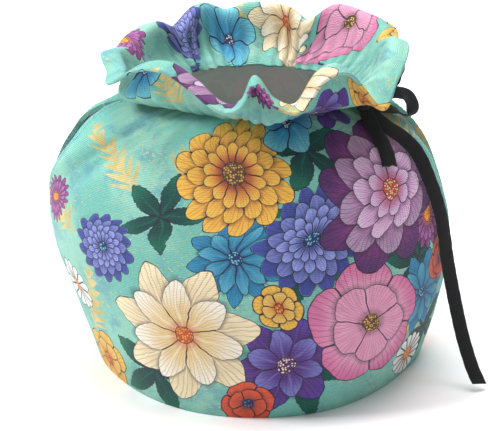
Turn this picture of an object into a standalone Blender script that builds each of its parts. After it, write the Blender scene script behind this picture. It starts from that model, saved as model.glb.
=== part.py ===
"""A gathered tea cosy, 1:1 in metres, +Z up, standing on its hem.

It is sewn from a front panel and a back panel. Each is one cloth from the hem, over the shoulder
and through the gathered neck, to the rim of the ruffle. The panels are sewn together down both
sides, except at a short slit on the left (-X) and a longer one on the right (+X). One ribbon draws
the neck in and is tied at the right of the front in a bow with two loops and two tails.
"""

import math
from collections import namedtuple

import bmesh
import bpy
from mathutils import Vector

# Where the upright line through the middle of the neck stands. The origin is the middle of the base.
AXIS = Vector((-0.0052, 0.0008, 0.0))

CLOTH = 0.0018  # the cloth's thickness
SEAM_GAP = 0.0003  # between the two panels where they are sewn together
PANEL_COLUMNS = 50
RIBBON_WIDTH = 0.0072
RIBBON_THICKNESS = 0.0010
BODY_ROWS = 17
RUFFLE_ROWS = 9

# The body from hem to neck: the height, how far the cloth reaches from the axis on each side, and
# how much the left and right sides are drawn in, in depth only, towards a corner at the seam.
Level = namedtuple("Level", "height left right front back left_pinch right_pinch")
LEVELS = (
    Level(0.000, 0.0790, 0.0830, 0.0800, 0.0790, 0.25, 0.42),
    Level(0.014, 0.0833, 0.0875, 0.0835, 0.0825, 0.21, 0.34),
    Level(0.030, 0.0887, 0.0918, 0.0860, 0.0850, 0.16, 0.24),
    Level(0.047, 0.0943, 0.0947, 0.0875, 0.0860, 0.10, 0.14),
    Level(0.063, 0.0998, 0.0960, 0.0870, 0.0850, 0.05, 0.06),
    Level(0.080, 0.1022, 0.0945, 0.0845, 0.0825, 0.00, 0.00),
    Level(0.096, 0.1005, 0.0900, 0.0795, 0.0770, 0.00, 0.00),
    Level(0.111, 0.0945, 0.0840, 0.0720, 0.0700, 0.00, 0.00),
    Level(0.122, 0.0855, 0.0755, 0.0635, 0.0620, 0.00, 0.00),
    Level(0.130, 0.0735, 0.0650, 0.0555, 0.0545, 0.00, 0.00),
    Level(0.135, 0.0580, 0.0545, 0.0490, 0.0485, 0.00, 0.00),
    Level(0.138, 0.0460, 0.0460, 0.0440, 0.0440, 0.00, 0.00),
)

# The ruffle, once round from the back: each row is the top or foot of a wave. The azimuth is in
# degrees from the front (-Y), to the right for plus. The cloth goes from the neck out through the
# swell, which hangs low over the shoulder in some waves, and up to the rim.
Fold = namedtuple("Fold", "azimuth rim_reach rim_height swell_reach swell_height")
FOLDS = (
    Fold(-178, 0.0700, 0.1625, 0.0550, 0.1470),
    Fold(-166, 0.0690, 0.1595, 0.0540, 0.1460),
    Fold(-155, 0.0710, 0.1630, 0.0570, 0.1470),
    Fold(-139, 0.0660, 0.1550, 0.0520, 0.1450),
    Fold(-129, 0.0695, 0.1590, 0.0560, 0.1450),
    Fold(-116, 0.0720, 0.1560, 0.0580, 0.1450),
    Fold(-105, 0.0715, 0.1535, 0.0560, 0.1440),
    Fold(-95, 0.0755, 0.1545, 0.0620, 0.1440),
    Fold(-83, 0.0720, 0.1505, 0.0640, 0.1425),
    Fold(-68, 0.0755, 0.1505, 0.0670, 0.1420),
    Fold(-53, 0.0720, 0.1610, 0.0620, 0.1450),
    Fold(-38, 0.0710, 0.1650, 0.0560, 0.1460),
    Fold(-27, 0.0695, 0.1590, 0.0530, 0.1450),
    Fold(-13, 0.0700, 0.1490, 0.0530, 0.1425),
    Fold(-6, 0.0675, 0.1510, 0.0540, 0.1430),
    Fold(-1, 0.0640, 0.1605, 0.0580, 0.1430),
    Fold(7, 0.0680, 0.1515, 0.0600, 0.1415),
    Fold(17, 0.0700, 0.1490, 0.0540, 0.1425),
    Fold(26, 0.0710, 0.1630, 0.0550, 0.1450),
    Fold(37, 0.0720, 0.1635, 0.0560, 0.1460),
    Fold(49, 0.0775, 0.1450, 0.0590, 0.1430),
    Fold(60, 0.0755, 0.1540, 0.0565, 0.1478),
    Fold(72, 0.0745, 0.1615, 0.0570, 0.1490),
    Fold(87, 0.0725, 0.1630, 0.0570, 0.1490),
    Fold(99, 0.0700, 0.1590, 0.0540, 0.1470),
    Fold(112, 0.0745, 0.1610, 0.0570, 0.1470),
    Fold(128, 0.0730, 0.1635, 0.0560, 0.1470),
    Fold(142, 0.0705, 0.1645, 0.0550, 0.1470),
    Fold(154, 0.0645, 0.1565, 0.0510, 0.1450),
    Fold(165, 0.0685, 0.1610, 0.0540, 0.1460),
)
LIP_RUN = 0.008  # how far the cloth runs nearly level into the rim
LIP_DROOP = 0.001

# Soft gathers that start at the neck and run out over the shoulder.
GATHERS = 18
GATHER_DEPTH = 0.0011
GATHER_TOP = 0.138
GATHER_FOOT = 0.112

# Single creases in the body: where each starts under the neck, where it fades out, how wide it is
# across and how far it stands out (a trough is negative).
Crease = namedtuple("Crease", "top_azimuth top_height foot_azimuth foot_height width depth")
CREASES = (
    Crease(-54, 0.135, -82, 0.094, 8, 0.0030),
    Crease(-40, 0.135, -66, 0.096, 6, -0.0030),
    Crease(-12, 0.132, -16, 0.112, 7, -0.0012),
    Crease(24, 0.132, 30, 0.108, 8, -0.0013),
    Crease(58, 0.130, 74, 0.094, 9, 0.0014),
    Crease(122, 0.132, 108, 0.090, 10, 0.0020),
    Crease(-140, 0.132, -122, 0.094, 10, 0.0018),
    Crease(170, 0.132, 176, 0.104, 8, -0.0014),
)

# Half the opening of each slit, in degrees of azimuth, against height. Between the first row and
# the last the panels are apart, and above and below they are sewn together.
SlitRow = namedtuple("SlitRow", "height half_angle")
LEFT_SLIT = (
    SlitRow(0.088, 0.0),
    SlitRow(0.097, 7.0),
    SlitRow(0.108, 11.0),
    SlitRow(0.119, 10.5),
    SlitRow(0.128, 5.5),
    SlitRow(0.1335, 0.0),
)
RIGHT_SLIT = (
    SlitRow(0.044, 0.0),
    SlitRow(0.060, 4.5),
    SlitRow(0.085, 6.5),
    SlitRow(0.108, 7.5),
    SlitRow(0.120, 10.5),
    SlitRow(0.129, 8.0),
    SlitRow(0.1335, 0.0),
)


# The bow's knot, and the four lengths of ribbon that leave it. Each row is the middle of the ribbon
# at one place along it, from the neck's axis, and the way its outer face looks: an azimuth in
# degrees from the front, to the right for plus, and a tilt upwards. Each length starts in the knot,
# and a loop ends there too.
KNOT_CENTRE = Vector((0.0518, -0.0280, 0.1396))
KNOT_HALF_SIZE = (0.0044, 0.0037, 0.0029)
KNOT_FACING = 61
KNOT_TILT = 20

Bend = namedtuple("Bend", "x y z facing tilt")
SHORT_TAIL = (
    Bend(0.0515, -0.0290, 0.1390, 25, 55),
    Bend(0.0532, -0.0328, 0.1358, 22, 48),
    Bend(0.0554, -0.0364, 0.1318, 20, 44),
    Bend(0.0580, -0.0395, 0.1277, 18, 40),
    Bend(0.0603, -0.0424, 0.1241, 16, 38),
    Bend(0.0620, -0.0458, 0.1200, 14, 36),
    Bend(0.0628, -0.0495, 0.1159, 12, 34),
)
LONG_TAIL = (
    Bend(0.0520, -0.0275, 0.1388, 40, 62),
    Bend(0.0573, -0.0312, 0.1347, 28, 50),
    Bend(0.0630, -0.0337, 0.1302, 20, 40),
    Bend(0.0690, -0.0341, 0.1261, 14, 34),
    Bend(0.0745, -0.0342, 0.1208, 14, 28),
    Bend(0.0786, -0.0350, 0.1148, 18, 22),
    Bend(0.0823, -0.0358, 0.1066, 24, 18),
    Bend(0.0862, -0.0364, 0.0966, 30, 14),
    Bend(0.0890, -0.0370, 0.0870, 32, 10),
    Bend(0.0911, -0.0377, 0.0760, 30, 8),
    Bend(0.0925, -0.0380, 0.0660, 27, 5),
    Bend(0.0948, -0.0385, 0.0535, 25, 3),
    Bend(0.0979, -0.0400, 0.0390, 25, 3),
    Bend(0.1013, -0.0428, 0.0250, 26, 5),
    Bend(0.1058, -0.0468, 0.0112, 28, 9),
    Bend(0.1100, -0.0508, 0.0024, 30, 12),
)
LOWER_LOOP = (
    Bend(0.0520, -0.0270, 0.1406, 50, 72),
    Bend(0.0575, -0.0240, 0.1422, 50, 68),
    Bend(0.0645, -0.0190, 0.1430, 50, 58),
    Bend(0.0702, -0.0155, 0.1418, 46, 44),
    Bend(0.0740, -0.0135, 0.1388, 38, 24),
    Bend(0.0757, -0.0125, 0.1348, 32, 6),
    Bend(0.0757, -0.0120, 0.1308, 32, -22),
    Bend(0.0728, -0.0120, 0.1290, 40, -70),
    Bend(0.0668, -0.0145, 0.1328, -100, -60),
    Bend(0.0600, -0.0200, 0.1357, -125, -56),
    Bend(0.0530, -0.0260, 0.1380, -124, -68),
)
UPPER_LOOP = (
    Bend(0.0515, -0.0265, 0.1414, 58, 66),
    Bend(0.0570, -0.0205, 0.1446, 58, 62),
    Bend(0.0638, -0.0130, 0.1482, 62, 50),
    Bend(0.0688, -0.0065, 0.1505, 66, 28),
    Bend(0.0712, -0.0020, 0.1488, 68, 2),
    Bend(0.0705, 0.0000, 0.1456, 66, -34),
    Bend(0.0660, -0.0045, 0.1434, -100, -78),
    Bend(0.0595, -0.0145, 0.1416, -120, -66),
    Bend(0.0530, -0.0245, 0.1392, -124, -68),
)


def clear_scene():
    for old in list(bpy.data.objects):
        bpy.data.objects.remove(old)


def spline(values, t):
    """The smooth curve through values, at t from 0 to len(values) - 1."""
    last = len(values) - 1
    i = min(int(t), last - 1)
    u = t - i
    a, b = values[i], values[i + 1]
    before = values[i - 1] if i > 0 else 2 * a - b
    after = values[i + 2] if i + 2 <= last else 2 * b - a
    return a + 0.5 * u * (
        b - before + u * (2 * before - 5 * a + 4 * b - after + u * (3 * (a - b) + after - before))
    )


def smooth_step(x):
    x = min(max(x, 0.0), 1.0)
    return x * x * (3 - 2 * x)


def level_at(t):
    """The body's level at t from 0, the hem, to 1, the neck."""
    place = t * (len(LEVELS) - 1)
    return Level(*(spline([row[k] for row in LEVELS], place) for k in range(len(Level._fields))))


def share_of_height(height):
    """The t at which level_at has this height."""
    low, high = 0.0, 1.0
    for _ in range(30):
        middle = (low + high) / 2
        if level_at(middle).height < height:
            low = middle
        else:
            high = middle
    return (low + high) / 2


def fold_at(azimuth):
    """The ruffle's shape at an azimuth in degrees, smooth all the way round."""
    turns = [f._replace(azimuth=f.azimuth - 360) for f in FOLDS[-2:]]
    turns += list(FOLDS)
    turns += [f._replace(azimuth=f.azimuth + 360) for f in FOLDS[:3]]
    azimuth = (azimuth - FOLDS[0].azimuth) % 360 + FOLDS[0].azimuth
    i = max(k for k, f in enumerate(turns) if f.azimuth <= azimuth)
    place = i + (azimuth - turns[i].azimuth) / (turns[i + 1].azimuth - turns[i].azimuth)
    return Fold(azimuth, *(spline([f[k] for f in turns], place) for k in range(1, 5)))


def gather_wave(azimuth, height):
    """How far the gathers push the cloth out, most at the neck and nothing at their foot."""
    fade = smooth_step((height - GATHER_FOOT) / (GATHER_TOP - GATHER_FOOT))
    wander = 0.6 * math.sin(math.radians(3 * azimuth + 20))
    return GATHER_DEPTH * fade * math.cos(math.radians(GATHERS * azimuth) + wander)


def crease_depth(azimuth, height):
    total = 0.0
    for crease in CREASES:
        along = (crease.top_height - height) / (crease.top_height - crease.foot_height)
        if not -0.15 < along < 1.15:
            continue
        centre = crease.top_azimuth + along * (crease.foot_azimuth - crease.top_azimuth)
        off = (azimuth - centre + 180) % 360 - 180
        ends = smooth_step((along + 0.15) / 0.4) * smooth_step((1.15 - along) / 0.6)
        total += crease.depth * ends * math.exp(-((off / crease.width) ** 2) * 2)
    return total


def body_point(azimuth, t):
    """A point in the middle of the cloth below the neck, from the neck's axis."""
    level = level_at(t)
    angle = math.radians(azimuth)
    across, along = math.sin(angle), -math.cos(angle)
    reach, pinch = (level.right, level.right_pinch) if across > 0 else (level.left, level.left_pinch)
    x = across * reach
    y = along * (level.front if along < 0 else level.back) * (1 - pinch * across**4)
    push = gather_wave(azimuth, level.height) + crease_depth(azimuth, level.height)
    return Vector((x, y, 0)) * (1 + push / math.hypot(x, y)) + Vector((0, 0, level.height))


def ruffle_point(azimuth, s):
    """A point in the middle of the ruffle's cloth, from the neck (s 0) to the rim (s 1)."""
    fold = fold_at(azimuth)
    root = body_point(azimuth, 1.0)
    reaches = (math.hypot(root.x, root.y), fold.swell_reach, fold.rim_reach - LIP_RUN, fold.rim_reach)
    heights = (root.z, fold.swell_height, fold.rim_height + LIP_DROOP, fold.rim_height)
    out = spline(reaches, 3 * s)
    root_heading = math.degrees(math.atan2(root.x, -root.y))
    turn = (azimuth - root_heading + 180) % 360 - 180
    heading = math.radians(root_heading + turn * smooth_step(s))
    return Vector((out * math.sin(heading), -out * math.cos(heading), spline(heights, 3 * s)))


def slit_half_angle(slit, height):
    """Half the gap between the panels at this height, in degrees."""
    if not slit[0].height < height < slit[-1].height:
        return 0.0
    i = max(k for k, row in enumerate(slit) if row.height <= height)
    place = i + (height - slit[i].height) / (slit[i + 1].height - slit[i].height)
    return max(spline([row.half_angle for row in slit], place), 0.0)


def panel_heights():
    """The values of t for the rows of the body, with a row at each end of each slit."""
    rows = [k / BODY_ROWS for k in range(BODY_ROWS + 1)]
    for slit in (LEFT_SLIT, RIGHT_SLIT):
        for end in (slit[0], slit[-1]):
            wanted = share_of_height(end.height)
            nearest = min(range(1, BODY_ROWS), key=lambda k: abs(rows[k] - wanted))
            rows[nearest] = wanted
    return sorted(rows)


def cloth_rows(side_centre):
    """The middle surface of a panel as rows of points, hem to rim. The front's side_centre is 0."""
    rows = []
    for t in panel_heights():
        height = level_at(t).height
        left = slit_half_angle(LEFT_SLIT, height)
        right = slit_half_angle(RIGHT_SLIT, height)
        first, last = (-90 + left, 90 - right) if side_centre == 0 else (90 + right, 270 - left)
        angles = [first + (last - first) * k / PANEL_COLUMNS for k in range(PANEL_COLUMNS + 1)]
        rows.append([body_point(a, t) for a in angles])
    angles = [side_centre - 90 + 180 * k / PANEL_COLUMNS for k in range(PANEL_COLUMNS + 1)]
    for k in range(1, RUFFLE_ROWS + 1):
        rows.append([ruffle_point(a, k / RUFFLE_ROWS) for a in angles])
    away = 1 if side_centre else -1
    for row in rows:
        for edge in (row[0], row[-1]):
            edge.y = away * max(away * edge.y, SEAM_GAP / 2)
    return rows


def row_normals(rows):
    """The outward direction of the cloth at each point of its rows."""
    normals = []
    for j, row in enumerate(rows):
        above, below = rows[min(j + 1, len(rows) - 1)], rows[max(j - 1, 0)]
        line = []
        for i in range(len(row)):
            right, left = row[min(i + 1, len(row) - 1)], row[max(i - 1, 0)]
            line.append((right - left).cross(above[i] - below[i]).normalized())
        normals.append(line)
    return normals


def square_to_seams(normals):
    """Turns the cloth's first and last columns so that its side edges are cut along the seam."""
    for line in normals:
        for i in (0, -1):
            line[i] = Vector((line[i].x, 0, line[i].z)).normalized()
    normals[0] = [Vector((n.x, n.y, 0)).normalized() for n in normals[0]]
    return normals


def thick_sheet(name, rows, normals, thickness):
    """A closed solid of even thickness about a grid of points."""
    bm = bmesh.new()
    sides = []
    for side in (0.5, -0.5):
        grid = []
        for row, line in zip(rows, normals):
            grid.append([bm.verts.new(p + n * thickness * side + AXIS) for p, n in zip(row, line)])
        sides.append(grid)
    outer, inner = sides
    top, end = len(rows) - 1, len(rows[0]) - 1
    for j in range(top):
        for i in range(end):
            bm.faces.new((outer[j][i], outer[j][i + 1], outer[j + 1][i + 1], outer[j + 1][i]))
            bm.faces.new((inner[j][i], inner[j + 1][i], inner[j + 1][i + 1], inner[j][i + 1]))
    for i in range(end):
        bm.faces.new((outer[0][i], inner[0][i], inner[0][i + 1], outer[0][i + 1]))
        bm.faces.new((outer[top][i], outer[top][i + 1], inner[top][i + 1], inner[top][i]))
    for j in range(top):
        bm.faces.new((outer[j][0], outer[j + 1][0], inner[j + 1][0], inner[j][0]))
        bm.faces.new((outer[j][end], inner[j][end], inner[j + 1][end], outer[j + 1][end]))
    return finish_mesh(name, bm)


def direction(azimuth, tilt):
    """The unit vector that looks out at an azimuth from the front and up by a tilt, in degrees."""
    a, b = math.radians(azimuth), math.radians(tilt)
    return Vector((math.sin(a) * math.cos(b), -math.cos(a) * math.cos(b), math.sin(b)))


def ribbon_rows(bends, per_bend):
    """The two edges of a ribbon along its bends, as rows of a grid."""
    count = (len(bends) - 1) * per_bend
    places = [k / per_bend for k in range(count + 1)]
    middles = [Vector(spline([b[k] for b in bends], t) for k in range(3)) for t in places]
    faces = [direction(b.facing, b.tilt) for b in bends]
    rows = []
    for k, t in enumerate(places):
        along = middles[min(k + 1, count)] - middles[max(k - 1, 0)]
        face = Vector(spline([f[c] for f in faces], t) for c in range(3))
        across = along.cross(face).normalized() * RIBBON_WIDTH / 2
        rows.append([middles[k] + across, middles[k] - across])
    return rows


def ribbon_length(name, bends, per_bend):
    """A length of ribbon that is only there to be joined to the knot."""
    rows = ribbon_rows(bends, per_bend)
    made = thick_sheet(name, rows, row_normals(rows), RIBBON_THICKNESS)
    made.hide_render = True
    made.display_type = "WIRE"
    return made


def rounded_block(name, centre, half_size, facing, tilt):
    """A soft-edged block: a sphere whose sides are flattened, turned to face outwards."""
    out = direction(facing, tilt)
    left = Vector((0, 0, 1)).cross(out).normalized()
    axes = (left, out.cross(left), out)
    bm = bmesh.new()
    bmesh.ops.create_icosphere(bm, subdivisions=2, radius=1)
    for v in bm.verts:
        flat = [math.copysign(abs(c) ** 0.7, c) * h for c, h in zip(v.co, half_size)]
        v.co = centre + AXIS + sum((axis * c for axis, c in zip(axes, flat)), Vector())
    return finish_mesh(name, bm)


def tie_ribbon():
    """The knot with the tails and loops joined to it."""
    knot = rounded_block("ribbon", KNOT_CENTRE, KNOT_HALF_SIZE, KNOT_FACING, KNOT_TILT)
    lengths = (
        ("short_tail", SHORT_TAIL, 2),
        ("long_tail", LONG_TAIL, 2),
        ("lower_loop", LOWER_LOOP, 3),
        ("upper_loop", UPPER_LOOP, 3),
    )
    for name, bends, per_bend in lengths:
        joint = knot.modifiers.new(name, "BOOLEAN")
        joint.operation = "UNION"
        joint.solver = "EXACT"
        joint.object = ribbon_length(name, bends, per_bend)
    slivers = knot.modifiers.new("slivers", "WELD")
    slivers.merge_threshold = 0.00008
    return knot


def finish_mesh(name, bm):
    bmesh.ops.recalc_face_normals(bm, faces=bm.faces)
    mesh = bpy.data.meshes.new(name)
    bm.to_mesh(mesh)
    bm.free()
    mesh.shade_smooth()
    mesh.set_sharp_from_angle(angle=math.radians(50))
    made = bpy.data.objects.new(name, mesh)
    bpy.context.scene.collection.objects.link(made)
    return made


def paint(made, name, colour, roughness):
    material = bpy.data.materials.new(name)
    material.use_nodes = True
    shader = material.node_tree.nodes["Principled BSDF"]
    shader.inputs["Base Color"].default_value = (*colour, 1)
    shader.inputs["Roughness"].default_value = roughness
    shader.inputs["Metallic"].default_value = 0
    made.data.materials.append(material)


def sew_panel(name, side_centre):
    """Half of the cosy, from hem to rim, with a level hem."""
    rows = cloth_rows(side_centre)
    return thick_sheet(name, rows, square_to_seams(row_normals(rows)), CLOTH)


def build():
    clear_scene()
    front = sew_panel("front_panel", 0)
    back = sew_panel("back_panel", 180)
    ribbon = tie_ribbon()
    paint(front, "printed_cloth_front", (0.32, 0.62, 0.62), 0.8)
    paint(back, "printed_cloth_back", (0.32, 0.62, 0.62), 0.8)
    paint(ribbon, "black_ribbon", (0.02, 0.02, 0.025), 0.6)


build()
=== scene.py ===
"""The looks of a gathered tea cosy in printed cloth, with a black ribbon tied in a bow.

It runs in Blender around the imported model. Lengths are in metres, but places in the print are in
millimetres on the flat cloth: across from the middle of a panel, and up from its hem.
"""

import math
from collections import namedtuple

import bmesh
import bpy
import numpy as np
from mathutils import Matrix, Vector, noise


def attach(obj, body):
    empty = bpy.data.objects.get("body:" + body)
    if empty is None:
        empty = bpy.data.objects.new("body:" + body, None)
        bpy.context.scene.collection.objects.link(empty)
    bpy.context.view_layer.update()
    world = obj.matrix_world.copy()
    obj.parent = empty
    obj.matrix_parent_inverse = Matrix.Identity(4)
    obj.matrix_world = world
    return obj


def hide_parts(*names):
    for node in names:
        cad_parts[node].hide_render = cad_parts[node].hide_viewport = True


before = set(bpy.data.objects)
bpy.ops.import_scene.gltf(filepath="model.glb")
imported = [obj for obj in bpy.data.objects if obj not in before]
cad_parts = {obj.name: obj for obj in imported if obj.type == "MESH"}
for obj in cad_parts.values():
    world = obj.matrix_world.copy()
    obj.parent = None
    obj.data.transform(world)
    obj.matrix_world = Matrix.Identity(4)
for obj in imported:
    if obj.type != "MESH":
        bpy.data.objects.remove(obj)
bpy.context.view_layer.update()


# The camera looks down a little on the front, from far enough off for the cosy to look upright.
# It sees a strip VIEW_WIDTH wide where the cosy stands.
VIEW_DISTANCE = 1.05
VIEW_RISE = math.radians(21)
VIEW_MIDDLE = Vector((-0.0082, 0.0008, 0.0725))
VIEW_WIDTH = 0.25


def put_in_scene(name, data):
    made = bpy.data.objects.new(name, data)
    bpy.context.scene.collection.objects.link(made)
    return made


view = put_in_scene("view", bpy.data.cameras.new("view"))
view.data.lens = view.data.sensor_width * VIEW_DISTANCE / VIEW_WIDTH
view.location = VIEW_MIDDLE + VIEW_DISTANCE * Vector((0, -math.cos(VIEW_RISE), math.sin(VIEW_RISE)))
view.rotation_euler = (VIEW_MIDDLE - view.location).to_track_quat("-Z", "Y").to_euler()
bpy.context.scene.camera = view
bpy.context.scene.view_settings.view_transform = "Standard"


# The two panels are each one width of finely ribbed polyester, printed on its right side. Each runs
# from the hem over the shoulder and through the gathered neck to the ruffle, where it turns over at
# the rim and comes down inside. They are sewn to each other down both sides, but for a slit in each.
AXIS = Vector((-0.0052, 0.0008, 0.0))  # the upright line through the middle of the neck
BODY_CLOTH = 0.0013
RUFFLE_CLOTH = 0.0018  # two layers
TURNED_HEM = 0.0006  # what the hem adds on the inside
HEM_DEPTH = 0.009
SLIT_HEM = 0.005  # the narrow hem round each slit
SLIT_HEM_SWELL = 0.0002  # what it adds on the outside
HEM_STEP = 0.0006  # how wide the step is where a hem's added thickness starts
SEAM_GAP = 0.00004  # the two panels all but touch where they are sewn together
PANEL_COLUMNS = 236
BODY_ROWS = 72
RUFFLE_ROWS = 36
EDGE_STEPS = 4

# The body from hem to neck, as in the cut.
Level = namedtuple("Level", "height left right front back left_pinch right_pinch")
LEVELS = (
    Level(0.000, 0.0790, 0.0830, 0.0800, 0.0790, 0.25, 0.42),
    Level(0.014, 0.0833, 0.0875, 0.0835, 0.0825, 0.21, 0.34),
    Level(0.030, 0.0887, 0.0918, 0.0860, 0.0850, 0.16, 0.24),
    Level(0.047, 0.0943, 0.0947, 0.0875, 0.0860, 0.10, 0.14),
    Level(0.063, 0.0998, 0.0960, 0.0870, 0.0850, 0.05, 0.06),
    Level(0.080, 0.1022, 0.0945, 0.0845, 0.0825, 0.00, 0.00),
    Level(0.096, 0.1005, 0.0900, 0.0795, 0.0770, 0.00, 0.00),
    Level(0.111, 0.0945, 0.0840, 0.0720, 0.0700, 0.00, 0.00),
    Level(0.122, 0.0855, 0.0755, 0.0635, 0.0620, 0.00, 0.00),
    Level(0.130, 0.0735, 0.0650, 0.0555, 0.0545, 0.00, 0.00),
    Level(0.135, 0.0580, 0.0545, 0.0490, 0.0485, 0.00, 0.00),
    Level(0.138, 0.0460, 0.0460, 0.0440, 0.0440, 0.00, 0.00),
)

# The ruffle's waves once round from the back, to the right for plus: where the rim and the low
# swell under it reach to, and how high they are.
Fold = namedtuple("Fold", "azimuth rim_reach rim_height swell_reach swell_height")
FOLDS = [Fold(*row) for row in (
    (-178, 0.0700, 0.1625, 0.0550, 0.1470), (-166, 0.0690, 0.1595, 0.0540, 0.1460),
    (-155, 0.0710, 0.1630, 0.0570, 0.1470), (-139, 0.0660, 0.1550, 0.0520, 0.1450),
    (-129, 0.0695, 0.1590, 0.0560, 0.1450), (-116, 0.0720, 0.1560, 0.0580, 0.1450),
    (-105, 0.0715, 0.1535, 0.0560, 0.1440), (-95, 0.0755, 0.1545, 0.0620, 0.1440),
    (-83, 0.0720, 0.1505, 0.0640, 0.1425), (-68, 0.0755, 0.1505, 0.0670, 0.1420),
    (-53, 0.0720, 0.1610, 0.0620, 0.1450), (-38, 0.0710, 0.1650, 0.0560, 0.1460),
    (-27, 0.0695, 0.1590, 0.0530, 0.1450), (-13, 0.0700, 0.1490, 0.0530, 0.1425),
    (-6, 0.0675, 0.1510, 0.0540, 0.1430), (-1, 0.0640, 0.1605, 0.0580, 0.1430),
    (7, 0.0680, 0.1515, 0.0600, 0.1415), (17, 0.0700, 0.1490, 0.0540, 0.1425),
    (26, 0.0710, 0.1630, 0.0550, 0.1450), (37, 0.0720, 0.1635, 0.0560, 0.1460),
    (49, 0.0775, 0.1450, 0.0590, 0.1430), (60, 0.0755, 0.1540, 0.0565, 0.1478),
    (72, 0.0745, 0.1615, 0.0570, 0.1490), (87, 0.0725, 0.1630, 0.0570, 0.1490),
    (99, 0.0700, 0.1590, 0.0540, 0.1470), (112, 0.0745, 0.1610, 0.0570, 0.1470),
    (128, 0.0730, 0.1635, 0.0560, 0.1470), (142, 0.0705, 0.1645, 0.0550, 0.1470),
    (154, 0.0645, 0.1565, 0.0510, 0.1450), (165, 0.0685, 0.1610, 0.0540, 0.1460),
)]
LIP_RUN = 0.008
LIP_DROOP = 0.001

# The gathers: 18 soft ones that the cut has too, and fine pleats between them at the neck.
GATHERS = 18
GATHER_DEPTH = 0.0011
GATHER_TOP = 0.138
GATHER_FOOT = 0.112
PLEATS = 53
PLEAT_DEPTH = 0.00055
PLEAT_FOOT = 0.121
PLEAT_RISE = 0.75  # how far up the ruffle they fade, as a share of it
RUFFLE_PLEATS = 2.2  # how much deeper they are in the ruffle

Crease = namedtuple("Crease", "top_azimuth top_height foot_azimuth foot_height width depth")
CREASES = [Crease(*row) for row in (
    (-56, 0.137, -84, 0.094, 7, 0.0040), (-40, 0.137, -68, 0.096, 6, -0.0040),
    (-28, 0.132, -38, 0.092, 8, 0.0012), (-45, 0.137, -73, 0.099, 3, -0.0022),
    (-12, 0.132, -16, 0.112, 7, -0.0012), (24, 0.132, 30, 0.108, 8, -0.0013),
    (58, 0.130, 74, 0.094, 9, 0.0014), (122, 0.132, 108, 0.090, 10, 0.0020),
    (-140, 0.132, -122, 0.094, 10, 0.0018), (170, 0.132, 176, 0.104, 8, -0.0014),
    (-61, 0.128, -82, 0.100, 4, -0.0016), (-27, 0.131, -31, 0.112, 4, -0.0011),
    (-4, 0.133, -3, 0.118, 4, -0.0009), (40, 0.131, 47, 0.108, 4, -0.0012),
    (90, 0.040, 70, 0.016, 7, -0.0007), (-80, 0.070, -58, 0.030, 7, -0.0007),
    (84, 0.064, 62, 0.022, 7, -0.0006), (146, 0.132, 138, 0.108, 5, -0.0012),
    (-158, 0.132, -166, 0.110, 5, -0.0012), (-112, 0.132, -100, 0.108, 5, -0.0012),
)]
UNEVEN = 0.00035  # how far the taut cloth wanders from its shape
UNEVEN_SIZE = 0.022
UNEVEN_FROM = 0.01  # how far from a side edge it wanders in full
SEAM_DIP = 0.0008
SEAM_REACH = 0.0022
PUCKER = 0.00022
PUCKER_PITCH = 0.0052
PUCKER_REACH = 0.009
HEM_FADE = 0.012  # how far above the hem the seams dip and pucker in full

SlitRow = namedtuple("SlitRow", "height half_angle")
LEFT_SLIT = (
    SlitRow(0.088, 0.0),
    SlitRow(0.097, 7.0),
    SlitRow(0.108, 11.0),
    SlitRow(0.119, 10.5),
    SlitRow(0.128, 5.5),
    SlitRow(0.1335, 0.0),
)
RIGHT_SLIT = (
    SlitRow(0.044, 0.0),
    SlitRow(0.060, 4.5),
    SlitRow(0.085, 6.5),
    SlitRow(0.108, 7.5),
    SlitRow(0.120, 10.5),
    SlitRow(0.129, 8.0),
    SlitRow(0.1335, 0.0),
)


def spline(values, t):
    """The smooth curve through the rows of values, at t from 0 to len(values) - 1."""
    values = np.asarray(values, float)
    i = np.clip(np.floor(t).astype(int), 0, len(values) - 2)
    u = np.asarray(t - i)
    u = u.reshape(u.shape + (1,) * (values.ndim - 1))
    ends = [2 * values[:1] - values[1:2], values, 2 * values[-1:] - values[-2:-1]]
    before, a, b, after = (np.concatenate(ends)[i + k] for k in range(4))
    bend = 2 * before - 5 * a + 4 * b - after + u * (3 * (a - b) + after - before)
    return a + 0.5 * u * (b - before + u * bend)


def soft_step(x):
    x = np.clip(x, 0, 1)
    return x * x * (3 - 2 * x)


def level_at(t):
    return Level(*spline(LEVELS, np.float64(t * (len(LEVELS) - 1))))


def share_of_height(height):
    low, high = 0.0, 1.0
    for _ in range(30):
        middle = (low + high) / 2
        low, high = (middle, high) if level_at(middle).height < height else (low, middle)
    return (low + high) / 2


def gather_push(azimuths, height):
    """How far the gathers and pleats push the cloth out under the neck."""
    fade = soft_step((height - GATHER_FOOT) / (GATHER_TOP - GATHER_FOOT))
    sway = 0.6 * np.sin(np.radians(3 * azimuths + 20))
    soft = GATHER_DEPTH * fade * np.cos(np.radians(GATHERS * azimuths) + sway)
    fine = soft_step((height - PLEAT_FOOT) / (GATHER_TOP - PLEAT_FOOT))
    return soft + fine * pleat_push(azimuths)


def pleat_push(azimuths):
    sway = 1.4 * np.sin(np.radians(5 * azimuths)) + 0.9 * np.sin(np.radians(11 * azimuths + 40))
    deeper = 1 + 0.5 * np.sin(np.radians(7 * azimuths + 60))
    return PLEAT_DEPTH * deeper * np.cos(np.radians(PLEATS * azimuths) + sway)


def crease_push(azimuths, height):
    total = np.zeros_like(azimuths)
    for crease in CREASES:
        along = (crease.top_height - height) / (crease.top_height - crease.foot_height)
        if not -0.15 < along < 1.15:
            continue
        centre = crease.top_azimuth + along * (crease.foot_azimuth - crease.top_azimuth)
        off = (azimuths - centre + 180) % 360 - 180
        ends = soft_step((along + 0.15) / 0.4) * soft_step((1.15 - along) / 0.6)
        total += crease.depth * ends * np.exp(-((off / crease.width) ** 2) * 2)
    return total


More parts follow.
